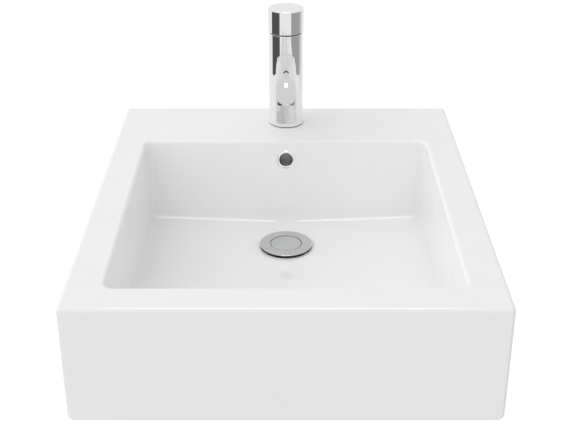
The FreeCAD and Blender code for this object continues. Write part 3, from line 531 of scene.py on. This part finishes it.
def thread(name, radius, pitch, proud, turns):
    """One tooth, drawn round and down the axis as a chaser cuts it."""
    bpy.ops.object.select_all(action="DESELECT")
    bpy.ops.mesh.primitive_circle_add(vertices=3, radius=pitch * 0.4, location=(0, 0, 0),
                                      rotation=(math.pi / 2, 0, 0))
    piece = bpy.context.object
    piece.name = name
    bpy.ops.object.transform_apply()
    crest, above, below = piece.data.vertices
    crest.co = (radius + proud, 0, 0)
    above.co = (radius - proud, 0, pitch * TOOTH_HALF)
    below.co = (radius - proud, 0, pitch * -TOOTH_HALF)
    drawn = piece.modifiers.new("drawn_round", "SCREW")
    drawn.axis = "Z"
    drawn.screw_offset = pitch
    drawn.iterations = turns
    drawn.steps = THREAD_STEPS
    drawn.render_steps = THREAD_STEPS
    bpy.ops.object.modifier_apply(modifier=drawn.name)
    bpy.ops.object.mode_set(mode="EDIT")
    bpy.ops.mesh.select_all(action="SELECT")
    bpy.ops.mesh.remove_doubles(threshold=0.000002)
    bpy.ops.mesh.select_mode(type="EDGE")
    bpy.ops.mesh.select_all(action="DESELECT")
    bpy.ops.mesh.select_non_manifold()
    bpy.ops.mesh.fill()
    bpy.ops.mesh.select_all(action="SELECT")
    bpy.ops.mesh.normals_make_consistent(inside=False)
    bpy.ops.object.mode_set(mode="OBJECT")
    bpy.ops.object.shade_smooth_by_angle(angle=math.radians(25))
    return piece


waste_low, waste_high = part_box("waste_body")
waste_axis = (waste_low + waste_high) / 2
tube_thread = thread("waste_thread", THREAD_R, THREAD_PITCH, THREAD_PROUD, THREAD_TURNS)
fitted(tube_thread, None, "basin", SHADED_WASTE_PLATE,
       Matrix.Translation((waste_axis.x, waste_axis.y, waste_low.z + THREAD_START)))


# ---- Click cartridge and plug ----------------------------------------------------------------------
# The housing stands in the waste's cross bridge. A push locks or frees the stem, which the spring
# lifts. The chromed crown, turned with a shallow dish, screws onto the stem over a rubber lip.

BRASS = (0.62, 0.46, 0.20, 1)
BRASS_DULL = (0.50, 0.36, 0.16, 1)
STEEL = (0.56, 0.56, 0.555, 1)
STEEL_RUBBED = (0.68, 0.68, 0.675, 1)


def turning_marks_effect():
    """Fine rings that a tool leaves on a turned piece, as a height. Where is centred on its axis."""
    tree, given, out = effect("turning_marks", [("Scale", 900.0)], "Height")
    place = tree.nodes.new("ShaderNodeSeparateXYZ")
    feed(tree, place.inputs[0], given["Where"])
    x, y, z = place.outputs
    squares = sums(tree, "ADD", sums(tree, "MULTIPLY", x, x), sums(tree, "MULTIPLY", y, y))
    away = sums(tree, "SQRT", squares, 0)
    ring = tree.nodes.new("ShaderNodeCombineXYZ")
    feed(tree, ring.inputs["X"], away)
    feed(tree, ring.inputs["Z"], z)
    feed(tree, out, cloud(tree, ring.outputs[0], given["Scale"], 2.0))
    return tree


TURNING_MARKS = turning_marks_effect()


def centred(tree, where, axis):
    """Object coordinates measured from a piece's own upright axis."""
    made = tree.nodes.new("ShaderNodeMapping")
    feed(tree, made.inputs["Vector"], where)
    made.inputs["Location"].default_value = (-axis.x, -axis.y, 0)
    return made.outputs[0]


def turned_metal(name, axis, colour, second, low, high, rings):
    material, tree, shader, where = new_material(name)
    rubbed = placed(tree, WORN_EDGES, where, Scale=240.0)
    shade = sums(tree, "MAXIMUM", rubbed, placed(tree, MOTTLE, where, Scale=70.0, Detail=4.0, High=0.7))
    feed(tree, shader.inputs["Base Color"], blended(tree, shade, colour, second))
    shader.inputs["Metallic"].default_value = 1.0
    feed(tree, shader.inputs["Roughness"], placed(tree, MOTTLE, where, Scale=110.0, Low=low, High=high))
    marks = placed(tree, TURNING_MARKS, centred(tree, where, axis), Scale=rings)
    relief(tree, shader, marks, 0.00002)
    return material


WASTE_BRASS = turned_metal("plug_brass", waste_axis, BRASS, BRASS_DULL, 0.25, 0.38, 2200.0)
SPRING_STEEL = turned_metal("spring_steel", waste_axis, STEEL, STEEL_RUBBED, 0.2, 0.3, 3000.0)
finish(GREY_PLASTIC, "click_housing")
finish(SPRING_STEEL, "click_spring")
finish(WASTE_BRASS, "plug_stem")

cap_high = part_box("plug_cap")[1]
CAP_R = 0.0330
DISH_R = 0.0200
DISH_MIDDLE = 0.0008       # below the crown's highest ring
# depth below the crown's top of the band where the groove's painted shade lies
GROOVE_SHADE_DEPTH = (0.0007, 0.0009)
GROOVE = 0.0008            # round the dish
UNDER = -0.0019            # the crown's underside, below its highest ring
CROWN_EDGE = -0.0009       # the lower edge of the crown's outside
LIP_R = 0.0328
LIP_BORE_R = 0.0255


def crown_plate():
    """The waste's plate, a darker copy of the tap's as painted shade, with painted shade: a black line in the
    groove round the dish.
    """
    material = chrome_plate("shaded_crown_chrome_plate", SHADED_WASTE_CHROME, SHADED_WASTE_CHROME_RUBBED)
    tree = material.node_tree
    shader = tree.nodes["Principled BSDF"]
    where = next(made for made in tree.nodes if made.type == "TEX_COORD").outputs["Object"]
    middle = Vector((waste_axis.x, waste_axis.y, cap_high.z - DISH_MIDDLE))
    away = distance_from(tree, where, middle)
    off_groove = sums(tree, "ABSOLUTE", sums(tree, "SUBTRACT", away, DISH_R - GROOVE / 2), 0.0)
    place = tree.nodes.new("ShaderNodeSeparateXYZ")
    feed(tree, place.inputs[0], where)
    # painted shade: the groove is painted in black rubber colour, not metal, for the shade that falls in it
    groove_shade = sums(tree, "MULTIPLY", fade(tree, off_groove, GROOVE * 0.62, GROOVE * 0.50),
                fade(tree, place.outputs["Z"], cap_high.z - GROOVE_SHADE_DEPTH[0], cap_high.z - GROOVE_SHADE_DEPTH[1]))
    plate = shader.inputs["Base Color"].links[0].from_socket
    feed(tree, shader.inputs["Base Color"], blended(tree, groove_shade, plate, RUBBER_AND_GROOVE_SHADE))
    feed(tree, shader.inputs["Metallic"], sums(tree, "SUBTRACT", 1.0, groove_shade))
    return material


plug_crown = turned("plug_crown", [
    (0.0040, UNDER - 0.0033), (0.0070, UNDER - 0.0033), (0.0070, UNDER), (LIP_BORE_R, UNDER),
    (LIP_BORE_R, CROWN_EDGE), (CAP_R - 0.0002, CROWN_EDGE), (CAP_R, CROWN_EDGE + 0.0002), (CAP_R, -0.0005),
    (CAP_R - 0.0004, -0.0002), (DISH_R, 0.0), (DISH_R, -0.0010), (DISH_R - GROOVE, -0.0010),
    (DISH_R - GROOVE, -0.0003), (0.0002, -0.0005)], 0.00012)
fitted(plug_crown, "plug_cap", "plug", crown_plate(),
       Matrix.Translation((waste_axis.x, waste_axis.y, cap_high.z)))

seal_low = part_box("plug_seal")[0]
lip_top = cap_high.z + CROWN_EDGE - seal_low.z
plug_lip = turned("plug_lip", [
    (LIP_BORE_R, lip_top), (LIP_BORE_R, 0.0010), (LIP_BORE_R + 0.0015, 0.0), (0.0310, 0.0), (0.0314, 0.0005),
    (LIP_R, 0.0014), (LIP_R, lip_top), (LIP_BORE_R, lip_top)], 0.0002, closed=True)
fitted(plug_lip, "plug_seal", "plug", BLACK_RUBBER,
       Matrix.Translation((waste_axis.x, waste_axis.y, seal_low.z)))


# ---- Tap: base ring, column and spout ----------------------------------------------------------------
# A brass column stands on a flat base ring with a round seal in its groove. The spout is a bent tube
# brazed into the column's socket; all three are polished and chromed.

tap_low, tap_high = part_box("tap_base_ring")
tap_axis = (tap_low + tap_high) / 2
BASE_R = 0.0227
BASE_BORE_R = 0.0172
BASE_HIGH = 0.0030
# painted shade: the spout's chrome is given a darker colour than the column's, which dims the lamp it mirrors
SHADED_SPOUT_CHROME = (0.72, 0.725, 0.73, 1)
base_ring = turned("tap_base_ring_turned", [
    (BASE_BORE_R, 0.0), (0.0188, 0.0), (0.0188, 0.0015), (0.0216, 0.0015), (0.0216, 0.0010), (0.0224, 0.0010),
    (BASE_R, 0.0013), (BASE_R, 0.0024), (0.0223, BASE_HIGH), (BASE_BORE_R, BASE_HIGH),
    (BASE_BORE_R, 0.0)], 0.00012, closed=True)
fitted(base_ring, "tap_base_ring", "basin", POLISHED_PLATE,
       Matrix.Translation((tap_axis.x, tap_axis.y, tap_low.z)))
finish(POLISHED_PLATE, "tap_body")
SHADED_SPOUT_PLATE = chrome_plate("shaded_spout_chrome_plate", SHADED_SPOUT_CHROME, CHROME_RUBBED, 0.03, 0.05)
finish(SHADED_SPOUT_PLATE, "spout")
finish(BLACK_RUBBER, "tap_base_seal")


# ---- Jet regulator ---------------------------------------------------------------------------------
# A recessed acetal insert in the nozzle: a notched ring for its key round a honeycomb of straight
# ways, seated on a rubber washer.

finish(GREY_PLASTIC, "aerator")
finish(BLACK_RUBBER, "aerator_washer")


# ---- Control and cartridge ---------------------------------------------------------------------------
# The hollow brass control sits on the spindle of a ceramic disc cartridge and is held by a grub screw
# at the back. A dark glide ring fills the seam. A notched brass nut holds the cartridge in the column.

CARTRIDGE_BRASS = turned_metal("cartridge_brass", tap_axis, BRASS, BRASS_DULL, 0.25, 0.38, 2200.0)
FIXING_STEEL = turned_metal("fixing_steel", tap_axis, STEEL, STEEL_RUBBED, 0.24, 0.36, 1500.0)
finish(POLISHED_PLATE, "handle")
finish(BLACK_PLASTIC, "shadow_ring")
finish(GREY_PLASTIC, "cartridge_body")
finish(BLACK_RUBBER, "cartridge_seal")
finish(CARTRIDGE_BRASS, "cartridge_nut", "cartridge_spindle")
finish(FIXING_STEEL, "handle_screw")


# ---- Tap fixing --------------------------------------------------------------------------------------
# Under the deck a rubber and a steel horseshoe slide on past the supply hoses, and two M6 studs with
# nuts pull the tap down onto them. The studs are rolled, so their thread runs the whole length.

STUD_PITCH = 0.001
STUD_ROOT = 0.00265        # core radius
STUD_TOOTH = 0.00030       # proud of the core
STUD_SPACING = 0.025
STUD_END_R = 0.0019
STUD_END = 0.0008          # length of the chamfer at each end
STUD_THREAD_START = 0.0015
STUD_PLAIN_TURNS = 3       # turns left off at the ends
finish(BLACK_RUBBER, "horseshoe_rubber")
finish(FIXING_STEEL, "horseshoe_plate", "fixing_nuts")

stud_low, stud_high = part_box("fixing_studs")
stud_long = stud_high.z - stud_low.z
stud_turns = int(stud_long / STUD_PITCH) - STUD_PLAIN_TURNS
for side in (-1, 1):
    stud = turned("stud_core", [(STUD_END_R, 0.0), (STUD_ROOT, STUD_END), (STUD_ROOT, stud_long - STUD_END),
                                (STUD_END_R, stud_long)], 0.00008)
    tooth = thread("stud_thread", STUD_ROOT, STUD_PITCH, STUD_TOOTH, stud_turns)
    tooth.data.transform(Matrix.Translation((0, 0, STUD_THREAD_START)))
    bpy.ops.object.select_all(action="DESELECT")
    tooth.select_set(True)
    stud.select_set(True)
    bpy.context.view_layer.objects.active = stud
    bpy.ops.object.join()
    stud.name = "fixing_stud_front" if side < 0 else "fixing_stud_back"
    fitted(stud, "fixing_studs", "basin", FIXING_STEEL,
           Matrix.Translation((tap_axis.x, tap_axis.y + side * STUD_SPACING / 2, stud_low.z)))
